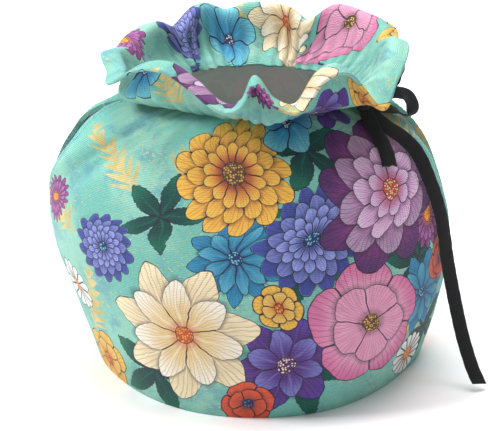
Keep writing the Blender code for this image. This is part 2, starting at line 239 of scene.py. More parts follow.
def body_row(azimuths, t):
    """The middle of the cloth at one level, from the neck's axis."""
    level = level_at(t)
    across, along = np.sin(np.radians(azimuths)), -np.cos(np.radians(azimuths))
    on_right = across > 0
    pinch = np.where(on_right, level.right_pinch, level.left_pinch)
    x = across * np.where(on_right, level.right, level.left)
    y = along * np.where(along < 0, level.front, level.back) * (1 - pinch * across**4)
    push = gather_push(azimuths, level.height) + crease_push(azimuths, level.height)
    scale = 1 + push / np.hypot(x, y)
    return np.stack([x * scale, y * scale, np.full_like(x, level.height)], -1)


def folds_at(azimuths):
    table = [f._replace(azimuth=f.azimuth - 360) for f in FOLDS[-2:]]
    table += list(FOLDS)
    table += [f._replace(azimuth=f.azimuth + 360) for f in FOLDS[:3]]
    round_once = (azimuths - FOLDS[0].azimuth) % 360 + FOLDS[0].azimuth
    places = np.interp(round_once, [f.azimuth for f in table], range(len(table)))
    return Fold(*spline(table, places).T)


def ruffle_row(azimuths, s):
    """The middle of the ruffle's cloth, from the neck (s 0) to the rim (s 1)."""
    fold = folds_at(azimuths)
    root = body_row(azimuths, 1.0)
    root_reach = np.hypot(root[:, 0], root[:, 1])
    reaches = (root_reach, fold.swell_reach, fold.rim_reach - LIP_RUN, fold.rim_reach)
    heights = (root[:, 2], fold.swell_height, fold.rim_height + LIP_DROOP, fold.rim_height)
    out = spline(reaches, np.float64(3 * s))
    fine = soft_step(1 - s / PLEAT_RISE) * soft_step(s / 0.15)
    out = out + fine * pleat_push(azimuths) * RUFFLE_PLEATS
    root_heading = np.degrees(np.arctan2(root[:, 0], -root[:, 1]))
    turn = (azimuths - root_heading + 180) % 360 - 180
    heading = np.radians(root_heading + turn * soft_step(s))
    up = spline(heights, np.float64(3 * s))
    return np.stack([out * np.sin(heading), -out * np.cos(heading), up], -1)


def slit_half_angle(slit, height):
    """Half the gap between the panels at this height, in degrees."""
    if not slit[0].height < height < slit[-1].height:
        return 0.0
    place = np.interp(height, [row.height for row in slit], range(len(slit)))
    return max(float(spline([[row.half_angle] for row in slit], np.float64(place))[0]), 0.0)


def panel_levels():
    """The body's rows as values of t, with a row at each end of each slit."""
    first = share_of_height((BODY_CLOTH + TURNED_HEM) / 2)
    rows = [first + (1 - first) * k / BODY_ROWS for k in range(BODY_ROWS + 1)]
    for slit in (LEFT_SLIT, RIGHT_SLIT):
        for end in (slit[0], slit[-1]):
            wanted = share_of_height(end.height)
            nearest = min(range(1, BODY_ROWS), key=lambda k: abs(rows[k] - wanted))
            rows[nearest] = wanted
    return sorted(rows)


def lengths_along(points, axis):
    """The length along the rows (axis 1) or columns (axis 0) of a grid of points, from its start."""
    steps = np.linalg.norm(np.diff(points, axis=axis), axis=2)
    start = np.zeros_like(np.take(steps, [0], axis))
    return np.concatenate([start, np.cumsum(steps, axis=axis)], axis)


def cloth_grid(side_centre):
    """The middle of a panel's cloth, hem to rim, and how far each slit edge or seam is from it."""
    rows, sewn = [], []
    for t in panel_levels():
        height = level_at(t).height
        left, right = slit_half_angle(LEFT_SLIT, height), slit_half_angle(RIGHT_SLIT, height)
        first, last = (-90 + left, 90 - right) if side_centre == 0 else (90 + right, 270 - left)
        rows.append(body_row(np.linspace(first, last, PANEL_COLUMNS + 1), t))
        sewn.append((left == 0, right == 0) if side_centre == 0 else (right == 0, left == 0))
    azimuths = np.linspace(side_centre - 90, side_centre + 90, PANEL_COLUMNS + 1)
    for k in range(1, RUFFLE_ROWS + 1):
        rows.append(ruffle_row(azimuths, k / RUFFLE_ROWS))
        sewn.append((True, True))
    points = np.array(rows)
    away = 1 if side_centre else -1
    for edge in (0, -1):
        points[:, edge, 1] = away * np.maximum(away * points[:, edge, 1], SEAM_GAP / 2)
    return points, np.array(sewn)


def grid_normals(points):
    """The outward direction at each point, square to the seams at the sides and level at the hem."""
    across = np.empty_like(points)
    across[:, 1:-1] = points[:, 2:] - points[:, :-2]
    across[:, 0], across[:, -1] = points[:, 1] - points[:, 0], points[:, -1] - points[:, -2]
    upward = np.empty_like(points)
    upward[1:-1] = points[2:] - points[:-2]
    upward[0], upward[-1] = points[1] - points[0], points[-1] - points[-2]
    normals = np.cross(across, upward)
    normals[:, [0, -1], 1] = 0
    normals[0, :, 2] = 0
    return normals / np.linalg.norm(normals, axis=2, keepdims=True)


def wander(points, size):
    """A smooth number from about -1 to 1 for each point, the same each run."""
    flat = points.reshape(-1, 3) / size
    return np.array([noise.noise(Vector(p)) for p in flat]).reshape(points.shape[:-1])


def worked_grid(side_centre):
    """The grid with the cloth's unevenness and its drawn-in seams, and what its edges need."""
    points, sewn = cloth_grid(side_centre)
    round_way = lengths_along(points, 1)
    from_left, from_right = round_way, round_way[:, -1:] - round_way
    nearest = np.minimum(from_left, from_right)
    on_left = from_left < from_right
    sewn_here = np.where(on_left, sewn[:, :1], sewn[:, 1:])
    along_seam = lengths_along(points, 0)
    push = UNEVEN * wander(points, UNEVEN_SIZE) * soft_step(nearest / UNEVEN_FROM)
    push[0] = 0
    dip = np.exp(-((nearest / SEAM_REACH) ** 2)) * sewn_here
    body = np.arange(len(points))[:, None] <= BODY_ROWS
    hem_fade = soft_step(along_seam / HEM_FADE)
    push -= SEAM_DIP * dip * np.where(body, 1, 0.5) * hem_fade
    near_seam = np.exp(-((nearest / PUCKER_REACH) ** 2)) * sewn_here * body * hem_fade
    push += PUCKER * near_seam * np.sin(along_seam * math.tau / PUCKER_PITCH)
    normals = grid_normals(points)
    points = points + normals * push[..., None]
    return points, grid_normals(points), nearest, sewn_here


# How wide the flat cloth is for each millimetre round the neck, where it is gathered up.
NECK_FULLNESS = 1.35
FULLNESS_REACH = 0.03


def flat_places(points):
    """Where each point lies on the flat cloth, in millimetres across and up."""
    middle = points.shape[1] // 2
    round_way = lengths_along(points, 1)
    upward = lengths_along(points, 0)
    neck = upward - upward[BODY_ROWS]
    full = 1 + (NECK_FULLNESS - 1) * np.exp(-((neck / FULLNESS_REACH) ** 2))
    across = (round_way - round_way[:, middle : middle + 1]) * full
    return across * 1000, upward * 1000


def panel_mesh(name, side_centre):
    """A panel as a closed skin with rounded edges, and where each of its corners is in the print.

    Round each column runs one loop of points: up the outside, over the rim, down the inside and
    round the hem.
    """
    points, normals, nearest, sewn = worked_grid(side_centre)
    across, upward = flat_places(points)
    rows, columns = upward.shape
    ruffle = soft_step((np.arange(rows) - BODY_ROWS + 4) / 8)[:, None]
    half = (BODY_CLOTH + (RUFFLE_CLOTH - BODY_CLOTH) * ruffle) / 2 * np.ones_like(nearest)
    slit_hem = (1 - soft_step((nearest - SLIT_HEM) / HEM_STEP)) * (~sewn.astype(bool))
    turned_in = np.maximum(slit_hem, 1 - soft_step((upward / 1000 - HEM_DEPTH) / HEM_STEP))
    outer = half + SLIT_HEM_SWELL * slit_hem
    inner = half + TURNED_HEM * turned_in
    loop, flat_over, flat_same = [], [], []
    for k in range(rows):
        loop.append(points[k] + normals[k] * outer[k][:, None])
        flat_over.append(upward[k])
        flat_same.append(upward[k])
    tip = points[-1] - points[-2]
    tip /= np.linalg.norm(tip, axis=1, keepdims=True)
    turns = np.radians(np.linspace(0, 180, EDGE_STEPS + 2)[1:-1])
    for turn in turns:
        round_rim = normals[-1] * math.cos(turn) + tip * math.sin(turn)
        loop.append(points[-1] + round_rim * half[-1][:, None])
        flat_over.append(upward[-1] + half[-1] * 1000 * turn)
        flat_same.append(upward[-1])
    over_rim = half[-1] * 1000 * math.pi
    for k in reversed(range(rows)):
        loop.append(points[k] - normals[k] * inner[k][:, None])
        flat_over.append(2 * upward[-1] + over_rim - upward[k])
        flat_same.append(upward[k])
    middle = points[0] + normals[0] * ((outer[0] - inner[0]) / 2)[:, None]
    depth = ((outer[0] + inner[0]) / 2)[:, None]
    for turn in turns:
        round_hem = -normals[0] * math.cos(turn) + np.array([0, 0, -1]) * math.sin(turn)
        loop.append(middle + round_hem * depth)
        flat_over.append(np.zeros(columns))
        flat_same.append(np.zeros(columns))
    loop = np.array(loop)
    count = len(loop)
    inside_from = 2 * rows + EDGE_STEPS - BODY_ROWS  # where the facing inside the neck ends
    flat = np.where((np.arange(count) < inside_from)[:, None], flat_over, flat_same)
    column_flat = [across[min(k, rows - 1)] for k in range(rows + EDGE_STEPS)]
    column_flat += [across[k] for k in reversed(range(rows))] + [across[0]] * EDGE_STEPS
    column_flat = np.array(column_flat)
    wrong = np.zeros((count, columns))
    wrong[inside_from : inside_from + BODY_ROWS] = (1 - turned_in)[:BODY_ROWS][::-1]
    number = np.arange(count * columns).reshape(count, columns)
    faces, corners = [], []
    for k in range(count):
        after = (k + 1) % count
        lower, upper = number[k], number[after]
        quads = np.stack([lower[:-1], lower[1:], upper[1:], upper[:-1]], 1)
        faces.append(quads)
        low, high = flat[k], flat[after]
        bare, next_bare = (wrong[k], wrong[after]) if k >= inside_from else (wrong[0], wrong[0])
        if k == inside_from - 1:
            high = np.array(flat_over[after])
        if after == 0:
            high = np.zeros(columns)
        corner = np.empty((columns - 1, 4, 3))
        corner[..., 0] = column_flat.reshape(-1)[quads]
        corner[..., 1] = np.stack([low[:-1], low[1:], high[1:], high[:-1]], 1)
        corner[..., 2] = np.stack([bare[:-1], bare[1:], next_bare[1:], next_bare[:-1]], 1)
        corners.append(corner)
    for edge, turn_round in ((0, False), (columns - 1, True)):
        for k in range(rows - 1):
            other = 2 * rows + EDGE_STEPS - 1 - k
            quad = [k, k + 1, other - 1, other]
            add_cap(faces, corners, number, quad, edge, turn_round, column_flat, flat)
        for start in (rows - 1, 2 * rows + EDGE_STEPS - 1):
            ring = [(start + step) % count for step in range(EDGE_STEPS + 2)]
            while len(ring) > 3:
                quad = [ring[0], ring[1], ring[-2], ring[-1]]
                add_cap(faces, corners, number, quad, edge, turn_round, column_flat, flat)
                ring = ring[1:-1]
    faces = np.concatenate(faces)
    mesh = bpy.data.meshes.new(name)
    mesh.from_pydata((loop.reshape(-1, 3) + np.array(AXIS)).tolist(), [], faces.tolist())
    place = mesh.attributes.new("flat_place", "FLOAT_VECTOR", "CORNER")
    corners = np.concatenate(corners)
    place.data.foreach_set("vector", corners.reshape(-1))
    mesh.shade_smooth()
    mesh.set_sharp_from_angle(angle=math.radians(60))
    return put_in_scene(name, mesh), corners


def add_cap(faces, corners, number, quad, edge, turn_round, column_flat, flat):
    """One face of the cut edge at the side of a panel."""
    quad = quad if not turn_round else quad[::-1]
    faces.append(number[quad, edge][None])
    corner = np.zeros((1, 4, 3))
    corner[0, :, 0] = column_flat[quad, edge]
    corner[0, :, 1] = flat[quad, edge]
    corners.append(corner)


front, front_corners = panel_mesh("front_cloth", 0)
back, back_corners = panel_mesh("back_cloth", 180)


# The print: what each kind of flower is made of, from its rim inwards. Sizes are shares of its
# radius, lines are millimetres wide and colours are dyes, from 0 to 255 as a screen shows them.
FlowerKind = namedtuple(
    "FlowerKind",
    "petals rings ring_step notch roundness edge_width vein eye saw midrib veins change freckles swirl"
    " tip base inner_tip inner_base edge eye_rim eye_dot",
)
PLUM, MAGENTA, ORCHID, BLUSH = (84, 40, 100), (160, 66, 142), (206, 134, 196), (236, 200, 232)
CREAM, SAND, STRAW, GOLD = (246, 228, 190), (212, 188, 150), (232, 196, 128), (224, 170, 66)
ROSE, PALE_ROSE, WHITE, GREY = (216, 112, 160), (238, 186, 208), (244, 242, 238), (110, 112, 122)
NAVY, INDIGO, VIOLET, LILAC = (34, 44, 96), (66, 76, 158), (92, 60, 158), (150, 158, 226)
TEAL, STEEL, SKY = (20, 104, 140), (52, 140, 184), (112, 196, 212)
ORANGE, RUST, YELLOW, BROWN = (226, 122, 36), (190, 76, 40), (240, 188, 76), (92, 62, 42)
LEAF, DEEP_LEAF = (10, 106, 80), (4, 62, 56)
SCARLET, PEARL = (228, 90, 56), (222, 222, 218)

KINDS = {
    "peony": FlowerKind(
        8, 4, 0.215, 0.26, 1.9, 0.0, 0.80, 0.13, 0.0, 0.1, 4.5, 0.5, 0.3, 0.3,
        PLUM, MAGENTA, BLUSH, ORCHID, PLUM, RUST, CREAM,
    ),
    "dog_rose": FlowerKind(
        5, 2, 0.34, 0.17, 2.8, 0.0, 0.60, 0.15, 0.0, 0.3, 5.5, 0.5, 1.0, 0.1,
        ROSE, PALE_ROSE, PALE_ROSE, ROSE, ROSE, BROWN, YELLOW,
    ),
    "lily": FlowerKind(
        7, 2, 0.24, 0.44, 1.5, 0.0, 0.60, 0.12, 0.0, 0.8, 4.5, 0.6, 1.0, 0.15,
        CREAM, SAND, WHITE, STRAW, SAND, RUST, GOLD,
    ),
    "marigold": FlowerKind(
        13, 3, 0.23, 0.20, 2.2, 0.0, 0.55, 0.20, 0.0, 0.1, 2.5, 0.5, 0.3, 0.1,
        YELLOW, ORANGE, YELLOW, RUST, ORANGE, BROWN, GOLD,
    ),
    "dahlia": FlowerKind(
        14, 4, 0.20, 0.22, 1.9, 0.4, 0.45, 0.14, 0.0, 0.0, 1.5, 0.5, 0.0, 0.2,
        INDIGO, NAVY, LILAC, INDIGO, LILAC, NAVY, SKY,
    ),
    "clematis": FlowerKind(
        6, 2, 0.30, 0.42, 1.6, 0.0, 0.65, 0.17, 0.0, 0.8, 3.5, 0.5, 0.5, 0.1,
        VIOLET, PLUM, LILAC, VIOLET, NAVY, PLUM, CREAM,
    ),
    "aster": FlowerKind(
        17, 2, 0.24, 0.26, 1.8, 0.0, 0.35, 0.24, 0.0, 0.2, 1.5, 0.5, 0.0, 0.0,
        MAGENTA, PLUM, ORCHID, MAGENTA, PLUM, ORANGE, YELLOW,
    ),
    "poppy": FlowerKind(
        4, 2, 0.30, 0.14, 3.2, 0.0, 0.50, 0.20, 0.0, 0.0, 5.5, 0.4, 1.0, 0.3,
        SCARLET, RUST, SCARLET, RUST, RUST, NAVY, GREY,
    ),
    "oxeye": FlowerKind(
        14, 1, 0.30, 0.22, 2.6, 0.0, 0.30, 0.28, 0.0, 0.0, 1.5, 0.5, 0.0, 0.0,
        WHITE, PEARL, WHITE, WHITE, GREY, ORANGE, YELLOW,
    ),
    "buttercup": FlowerKind(
        6, 2, 0.32, 0.16, 2.6, 0.0, 0.45, 0.22, 0.0, 0.0, 2.5, 0.5, 0.6, 0.0,
        YELLOW, GOLD, STRAW, GOLD, GOLD, RUST, YELLOW,
    ),
    "periwinkle": FlowerKind(
        5, 1, 0.20, 0.26, 2.4, 0.0, 0.50, 0.16, 0.0, 0.5, 3.5, 0.5, 0.6, 0.35,
        SKY, STEEL, SKY, STEEL, TEAL, NAVY, WHITE,
    ),
    "larkspur": FlowerKind(
        10, 2, 0.26, 0.40, 1.4, 0.0, 0.70, 0.14, 0.0, 0.6, 3.5, 0.5, 0.0, 0.0,
        STEEL, TEAL, SKY, STEEL, NAVY, NAVY, SKY,
    ),
    "leaves": FlowerKind(
        5, 1, 0.20, 0.70, 1.25, 0.0, 0.35, 0.04, 0.07, 1.0, 3.5, 0.5, 0.0, 0.15,
        LEAF, DEEP_LEAF, LEAF, DEEP_LEAF, DEEP_LEAF, DEEP_LEAF, DEEP_LEAF,
    ),
}

# Where the flowers are, from the lowest layer to the top one: across from the panel's middle and up
# from its hem, the radius, and how far the flower is turned.
Flower = namedtuple("Flower", "kind across up radius turn")
FRONT_FLOWERS = [Flower(*row) for row in (
    ("leaves", -52, 20, 27, 20), ("leaves", 22, 84, 29, 50), ("leaves", 92, 74, 26, 10),
    ("leaves", 30, 136, 25, 80), ("leaves", 20, 24, 27, 30), ("leaves", -46, 104, 22, 100),
    ("leaves", 106, 26, 22, 60), ("larkspur", 96, 52, 25, 15), ("larkspur", -4, 84, 24, 5),
    ("buttercup", -92, 10, 19, 10), ("clematis", 14, 30, 27, 15), ("dahlia", 30, 92, 27, 20),
    ("aster", 102, 92, 16, 0), ("lily", -34, 44, 38, 8), ("dog_rose", 58, 46, 33, 12),
    ("marigold", -12, 126, 31, 6), ("peony", 68, 110, 39, 20), ("periwinkle", 22, 152, 19, 4),
    ("clematis", 56, 164, 20, 20), ("dahlia", -72, 82, 18, 12), ("oxeye", -106, 52, 14, 30),
    ("oxeye", 92, 14, 14, 15), ("poppy", -4, 8, 13, 10), ("poppy", 116, 66, 14, 10),
    ("aster", -116, 96, 14, 0), ("buttercup", 14, 60, 12, 40), ("peony", -34, 214, 24, 15),
    ("lily", 34, 206, 20, 15), ("buttercup", 84, 190, 17, 5), ("periwinkle", -75, 203, 14, 30),
    ("aster", 4, 190, 12, 30),
)]
BACK_FLOWERS = [Flower(*row) for row in (
    ("leaves", 12, 46, 29, 0), ("leaves", -62, 66, 27, 40), ("leaves", 84, 70, 27, 70),
    ("leaves", 22, 112, 25, 20), ("leaves", -46, 120, 24, 10), ("leaves", -104, 60, 24, 30),
    ("larkspur", -2, 72, 24, 0), ("larkspur", 112, 66, 20, 10), ("larkspur", 8, 148, 20, 10),
    ("clematis", 88, 36, 28, 30), ("marigold", -44, 34, 34, 25), ("dahlia", 4, 10, 24, 15),
    ("lily", 40, 70, 36, 12), ("peony", -80, 88, 36, 0), ("dahlia", 88, 98, 26, 15),
    ("dog_rose", -16, 118, 31, 5), ("buttercup", 50, 128, 18, 20), ("aster", 50, 16, 16, 0),
    ("poppy", -20, 78, 13, 10), ("oxeye", -96, 38, 14, 30), ("poppy", -112, 10, 14, 0),
    ("oxeye", 116, 36, 12, 0), ("aster", -58, 140, 15, 25), ("periwinkle", -30, 180, 15, 0),
    ("dahlia", 52, 214, 19, 10), ("periwinkle", 18, 222, 18, 40), ("lily", -20, 210, 25, 15),
    ("dog_rose", -64, 220, 23, 0), ("aster", 96, 214, 15, 20), ("marigold", 40, 186, 15, 0),
    ("buttercup", -100, 200, 16, 0),
)]

# Gold fronds on the ground, one to a place: the foot of the stem, its length and where it points.
Frond = namedtuple("Frond", "across up length heading bend")
FRONT_FRONDS = [Frond(*row) for row in (
    (-60, 112, 52, 128, 0.006), (-40, 120, 46, 70, -0.006), (-92, 84, 44, 150, 0.008),
    (-100, 26, 44, 60, 0.004), (92, 120, 40, 60, 0.006), (60, 36, 36, 340, 0.006),
    (-52, 176, 40, 100, 0.004), (22, 176, 34, 80, 0.006),
)]
BACK_FRONDS = [Frond(*row) for row in (
    (-100, 100, 46, 120, 0.006), (10, 30, 44, 300, 0.006), (64, 100, 40, 20, -0.006),
    (-20, 60, 42, 200, 0.006), (-64, 176, 40, 80, 0.004), (20, 180, 36, 100, 0.004),
    (100, 176, 40, 100, 0.004),
)]

FLOWER_LAYERS = ("top", "middle", "lowest")
DYED_PARTS = ("tip", "base", "inner_tip", "inner_base", "edge", "eye_rim", "eye_dot")
FACT_NAMES = ("place", "petals", "rings", "lines", "veins", "marks") + DYED_PARTS
INK_REACH = 2.5  # how far past its radius a flower may be drawn, in millimetres


def linear(colour):
    """A dye as the renderer counts it."""
    return tuple(((c / 255 + 0.055) / 1.055) ** 2.4 if c > 10 else c / 3294.6 for c in colour)


def flower_facts(flower):
    """What the print's material reads for one flower, in triples."""
    kind = KINDS[flower.kind]
    return {
        "place": (flower.across, flower.up, flower.radius),
        "petals": (math.radians(flower.turn), kind.petals, kind.notch),
        "rings": (kind.ring_step, kind.rings, kind.roundness),
        "lines": (kind.eye, kind.edge_width, kind.vein),
        "veins": (kind.saw, kind.midrib, kind.veins),
        "marks": (kind.change, kind.freckles, kind.swirl),
        **{part: linear(getattr(kind, part)) for part in DYED_PARTS},
    }


def outline_at(flower, places, away):
    """How far the flower reaches towards each place, in millimetres."""
    kind = KINDS[flower.kind]
    right, high = (places - (flower.across, flower.up)).T
    spin = np.arctan2(high, right) + math.radians(flower.turn) + kind.swirl * away / flower.radius
    reach = np.zeros(len(places))
    for ring in range(kind.rings):
        off = np.abs((spin * kind.petals / math.tau + 0.5 * ring) % 1 * 2 - 1)
        petal = (1 - kind.ring_step * ring) * (1 - kind.notch * off**kind.roundness)
        reach = np.maximum(reach, flower.radius * petal)
    return reach


def lay_print(made, corners, flowers, fronds):
    """Tells each face which flowers lie on it, the topmost three, and which frond."""
    centres = corners[..., :2].mean(1)
    spread = np.linalg.norm(corners[..., :2] - centres[:, None], axis=2).max(1)
    count = len(centres)
    facts = {(layer, name): np.zeros((count, 3)) for layer in FLOWER_LAYERS for name in FACT_NAMES}
    filled = np.zeros(count, int)
    hidden = np.zeros(count, bool)
    for flower in reversed(flowers):
        away = np.linalg.norm(centres - (flower.across, flower.up), axis=1)
        edge = outline_at(flower, centres, away)
        near = away < edge + INK_REACH + spread
        said = flower_facts(flower)
        for number, layer in enumerate(FLOWER_LAYERS):
            chosen = near & ~hidden & (filled == number)
            for name, value in said.items():
                facts[layer, name][chosen] = value
        filled += near & ~hidden
        hidden |= away + spread < edge - INK_REACH
    stem = facts["frond", "stem"] = np.zeros((count, 3))
    curl = facts["frond", "curl"] = np.zeros((count, 3))
    for frond in fronds:
        heading = math.radians(frond.heading)
        along = np.array((math.cos(heading), math.sin(heading)))
        middle = np.array((frond.across, frond.up)) + frond.length / 2 * along
        near = np.linalg.norm(centres - middle, axis=1) < frond.length * 0.62 + spread
        stem[near] = (frond.across, frond.up, heading)
        curl[near] = (frond.length, frond.bend, 0)
    for (layer, name), values in facts.items():
        own = made.data.attributes.new(f"{layer}_{name}", "FLOAT_VECTOR", "FACE")
        own.data.foreach_set("vector", values.reshape(-1))


lay_print(front, front_corners, FRONT_FLOWERS, FRONT_FRONDS)
lay_print(back, back_corners, BACK_FLOWERS, BACK_FRONDS)


class Strand:
    """One socket of a material. Sums written with strands add their Math nodes."""

    def __init__(self, tree, socket=None):
        self.tree, self.socket = tree, socket

    def node(self, kind, settings=(), sockets=(), output=0):
        """Adds a node, sets it up, fills or joins its sockets and gives one of its outputs."""
        made = self.tree.nodes.new(kind)
        for name, value in dict(settings).items():
            setattr(made, name, value)
        for place, value in dict(sockets).items():
            if isinstance(value, Strand):
                self.tree.links.new(value.socket, made.inputs[place])
            else:
                made.inputs[place].default_value = value
        return None if output is None else Strand(self.tree, made.outputs[output])

    def maths(self, operation, *values):
        return self.node("ShaderNodeMath", {"operation": operation}, dict(enumerate(values)))

    def rise(self, low, high):
        """Goes softly from 0 at low to 1 at high."""
        span = {"interpolation_type": "SMOOTHSTEP"}
        return self.node("ShaderNodeMapRange", span, {0: self, 1: low, 2: high})

    def mix(self, share, first, second, blend="MIX"):
        """A colour between the first and the second, with that share of the second."""
        settings = {"data_type": "RGBA", "blend_type": blend}
        return self.node("ShaderNodeMix", settings, {0: share, 6: first, 7: second}, 2)

    def numbers(self):
        """The three parts of a vector."""
        parts = self.node("ShaderNodeSeparateXYZ", (), {0: self}).socket.node.outputs
        return [Strand(self.tree, part) for part in parts]

    def attribute(self, name, output="Vector"):
        return self.node("ShaderNodeAttribute", {"attribute_name": name}, (), output)

    def vector(self, x, y=0.0, z=0.0):
        return self.node("ShaderNodeCombineXYZ", (), {0: x, 1: y, 2: z})

    def speckle(self, place, scale, detail=2.0, roughness=0.5, output=0):
        """Noise from 0 to 1, about a half."""
        sockets = {"Vector": place, "Scale": scale, "Detail": detail, "Roughness": roughness}
        return self.node("ShaderNodeTexNoise", (), sockets, output)

    def feed(self, shader, place):
        self.tree.links.new(self.socket, shader.inputs[place])


# The signs and words that sums are written with, and the Math node that each stands for.
SUMS = {
    "__add__": "ADD",
    "__radd__": "ADD",
    "__sub__": "SUBTRACT",
    "__mul__": "MULTIPLY",
    "__rmul__": "MULTIPLY",
    "__truediv__": "DIVIDE",
    "__pow__": "POWER",
    "__abs__": "ABSOLUTE",
    "__gt__": "GREATER_THAN",
    "part": "FRACT",
    "least": "MINIMUM",
    "most": "MAXIMUM",
}


def sum_method(operation):
    return lambda strand, *others: strand.maths(operation, strand, *others)


for sign, operation in SUMS.items():
    setattr(Strand, sign, sum_method(operation))
Strand.__rsub__ = lambda strand, other: strand.maths("SUBTRACT", other, strand)


def new_finish(name):
    """A material with one shader, and a strand in its tree to start from."""
    made = bpy.data.materials.new(name)
    made.use_nodes = True
    return made, made.node_tree.nodes["Principled BSDF"], Strand(made.node_tree)


def as_dye(colour):
    return (*linear(colour), 1)


BLACK, WHITE_DYE = (0, 0, 0, 1), (1, 1, 1, 1)
INK = as_dye((30, 26, 40))
OUTLINE = (0.68, 0.25)  # how far in the ink round a flower ends, and is full, in millimetres
INK_LINE = (0.52, 0.14)
SAW_PITCH = 2.6
DEEPEST_RINGS = {"top": 4, "middle": 4, "lowest": 3}


def draw_flower(start, layer, under, across, up, streaks):
    """Draws one layer's flower over the colours under it."""
    said = {name: start.attribute(f"{layer}_{name}") for name in FACT_NAMES}
    centre_across, centre_up, radius = said["place"].numbers()
    turn, petals, notch = said["petals"].numbers()
    ring_step, rings, roundness = said["rings"].numbers()
    eye, edge_width, vein = said["lines"].numbers()
    saw, midrib, veins = said["veins"].numbers()
    change, freckles, swirl = said["marks"].numbers()
    right, high = across - centre_across, up - centre_up
    away = (right * right + high * high) ** 0.5
    spin = start.maths("ARCTAN2", high, right) + turn + swirl * away / radius.most(1)
    round_way = spin * petals / math.tau
    petal_half = away * math.pi / petals
    teeth = saw * (away / SAW_PITCH).part()
    grain = start.speckle(start.vector(round_way * 7, away * 0.10, radius), 1.0)
    drawn = radius > 1
    colour = under
    for ring in range(DEEPEST_RINGS[layer]):
        share = (1 - ring_step * ring) * (rings > ring + 0.5)
        reach = radius * share
        off = abs((round_way + 0.5 * ring).part() * 2 - 1) + teeth
        inside = reach * (1 - notch * off**roundness) - away
        edge = (inside * 0.8).least((1 - off) * petal_half)
        tip, base = said["tip"], said["base"]
        if ring:
            deep = change if ring == 1 else 1
            tip = start.mix(deep, tip, said["inner_tip"])
            base = start.mix(deep, base, said["inner_base"])
        petal = start.mix((away / reach.most(0.1)).rise(0.35, 1.0), base, tip)
        petal = start.mix(0.5, petal, start.mix(grain, BLACK, WHITE_DYE), "SOFT_LIGHT")
        lines = abs((off * veins + streaks * 0.3).part() - 0.5).rise(0.13, 0.03)
        petal = start.mix(lines * vein * 0.62, petal, INK)
        spine = (off * petal_half).rise(0.75, 0.3) * midrib
        petal = start.mix(spine * 0.6, petal, tip)
        border = edge.rise(edge_width + 0.3, edge_width) * (edge_width > 0.1)
        petal = start.mix(border, petal, said["edge"])
        petal = start.mix(edge.rise(*(INK_LINE if ring else OUTLINE)), petal, INK)
        shown = share > 0.05
        if ring:
            colour = start.mix(inside.rise(radius * -0.09, 0.0) * shown * 0.45, colour, INK)
        colour = start.mix(inside.rise(-0.12, 0.12) * shown, colour, petal)
    inside = radius * eye - away
    seeds = {"Vector": start.vector(right, high), "Scale": 0.78, "Randomness": 0.55}
    beads = start.node("ShaderNodeTexVoronoi", (), seeds, "Distance")
    stamens = beads.rise(0.36, 0.2) * inside.rise(radius * eye * -0.75, radius * eye * -0.1) * freckles
    colour = start.mix(stamens * drawn, colour, said["eye_rim"])
    heart = start.mix(beads.rise(0.5, 0.28), said["eye_rim"], said["eye_dot"])
    heart = start.mix(abs(inside - 0.1).rise(0.5, 0.1), heart, INK)
    colour = start.mix(inside.rise(radius * -0.14, 0.0) * drawn * 0.5, colour, said["eye_rim"])
    return start.mix(inside.rise(-0.15, 0.15) * drawn, colour, heart)


AQUA, PALE_AQUA, BLUE_AQUA = as_dye((112, 184, 170)), as_dye((144, 202, 184)), as_dye((100, 160, 172))
FOIL, PALE_FOIL = as_dye((200, 166, 88)), as_dye((226, 200, 122))
WRONG_SIDE = as_dye((232, 232, 226))


LEAFLET_PITCH = 6.4
LEAFLET_REACH = 15  # of the longest leaflets from the stem, in millimetres


def draw_ground(start, flat, across, up):
    """Mottled aqua with flecks of gold and soft gold fronds."""
    wash = start.speckle(flat, 0.021, 3.0, 0.6)
    cloud = start.speckle(flat, 0.055, 4.0, 0.65)
    colour = start.mix(wash.rise(0.42, 0.6), AQUA, PALE_AQUA)
    colour = start.mix(cloud.rise(0.48, 0.66) * 0.75, colour, BLUE_AQUA)
    mottle = start.speckle(flat, 0.9, 4.0, 0.75)
    grey = start.mix(mottle, BLACK, WHITE_DYE)
    colour = start.mix(0.55, colour, grey, "SOFT_LIGHT")
    foot_across, foot_up, heading = start.attribute("frond_stem").numbers()
    length, bend, _ = start.attribute("frond_curl").numbers()
    right, high = across - foot_across, up - foot_up
    cosine, sine = start.maths("COSINE", heading), start.maths("SINE", heading)
    along = right * cosine + high * sine
    beside = abs(high * cosine - right * sine - bend * along * along)
    leaflet = (along - beside * 0.95) / LEAFLET_PITCH
    taper = 1 - along / length.most(1)
    reach = (taper * 0.75 + 0.25) * LEAFLET_REACH
    width = 0.46 * (1 - (beside / reach) ** 1.6)
    blade = (width - abs(leaflet.part() - 0.5)).rise(0.0, 0.06) * (leaflet > 0.4) * (taper > 0)
    stem = beside.rise(0.75, 0.5) * (along > 0) * (taper > 0.02)
    worn = start.speckle(flat, 0.35, 4.0, 0.7).rise(0.28, 0.52)
    frond = blade.most(stem) * worn * (length > 1)
    foil = start.mix(cloud.rise(0.4, 0.6), FOIL, PALE_FOIL)
    colour = start.mix(frond * 0.9, colour, foil)
    flecks = start.speckle(start.vector(across * 0.55, up), 0.9, 2.0, 0.6).rise(0.61, 0.66)
    where = start.speckle(flat, 0.03).rise(0.42, 0.54)
    return start.mix(flecks * where, colour, foil)


RIB_PITCH = 0.86  # of the cloth's fine ribs, in millimetres
THREAD_PITCH = 0.6
# painted shade for the grooves between the fine ribs
RIB_GROOVE_PAINTED_SHADE = as_dye((40, 70, 90))
INK_DRIFT = 3.2  # how far a flower's lines wander from their true place, in millimetres
WHITENESS = 0.82  # of the wrong side
RELIEF = 0.00022


